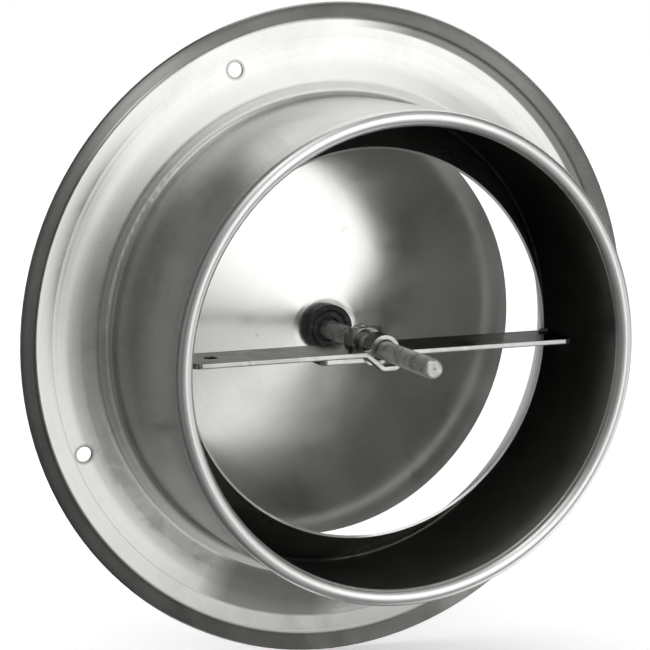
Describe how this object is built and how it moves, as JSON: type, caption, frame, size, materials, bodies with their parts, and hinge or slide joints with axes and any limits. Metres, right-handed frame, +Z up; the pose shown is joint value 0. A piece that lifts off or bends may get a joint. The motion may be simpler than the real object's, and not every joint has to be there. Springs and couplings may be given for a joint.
{
  "type": "supply air valve",
  "caption": "Round stainless supply air valve: flange with bell mouth and duct spigot, and a cone disc on a threaded spindle that screws in and out to set the air gap.",
  "frame": {"origin": "on the valve's axis, in the plane of the flange's flat back face, level with the screw circle", "axes": "-Y into the duct, along the spigot; +Y towards the room; +X along the bridge strap; +Z up"},
  "size_m": [0.207, 0.089, 0.207],
  "materials": {
    "ring_steel": "spun, lightly brushed",
    "collar_steel": "rolled sheet, satin",
    "disc_steel": "spun, radial sheen",
    "strap_steel": "cut strip, satin",
    "spindle_steel": "threaded rod",
    "nut_steel": "machined",
    "washer_steel": "stamped",
    "weld_steel": "weld bead",
    "hub_rubber": "moulded"
  },
  "bodies": {
    "valve_body": {"valve_ring": "ring_steel", "spigot_collar": "collar_steel", "bridge_strap": "strap_steel", "strap_doubler": "strap_steel", "spindle_nut": "nut_steel", "nut_weld_left": "weld_steel", "nut_weld_right": "weld_steel", "bridge_weld_left": "weld_steel", "bridge_weld_right": "weld_steel"},
    "disc_carrier": {"front_washer": "washer_steel"},
    "disc_unit": {"threaded_spindle": "spindle_steel", "valve_disc": "disc_steel", "hub_boss": "hub_rubber", "cap_nut": "nut_steel"},
    "lock_nut": {"lock_nut": "nut_steel"}
  },
  "joints": [
    {"name": "disc_travel", "type": "slide", "parent": "valve_body", "child": "disc_carrier", "axis": [0, 1, 0], "range_m": [-0.0214, 0.02]},
    {"name": "disc_turn", "type": "hinge", "parent": "disc_carrier", "child": "disc_unit", "pos_m": [0, 0, 0], "axis": [0, 1, 0], "range_deg": [-7704, 7200]},
    {"name": "lock_nut_turn", "type": "hinge", "parent": "valve_body", "child": "lock_nut", "pos_m": [0, 0, 0], "axis": [0, 1, 0], "range_deg": [0, 360]}
  ],
  "couplings": [
    {"joint": "disc_travel", "follows": "disc_turn", "m_per_rad": 0.00015915}
  ]
}
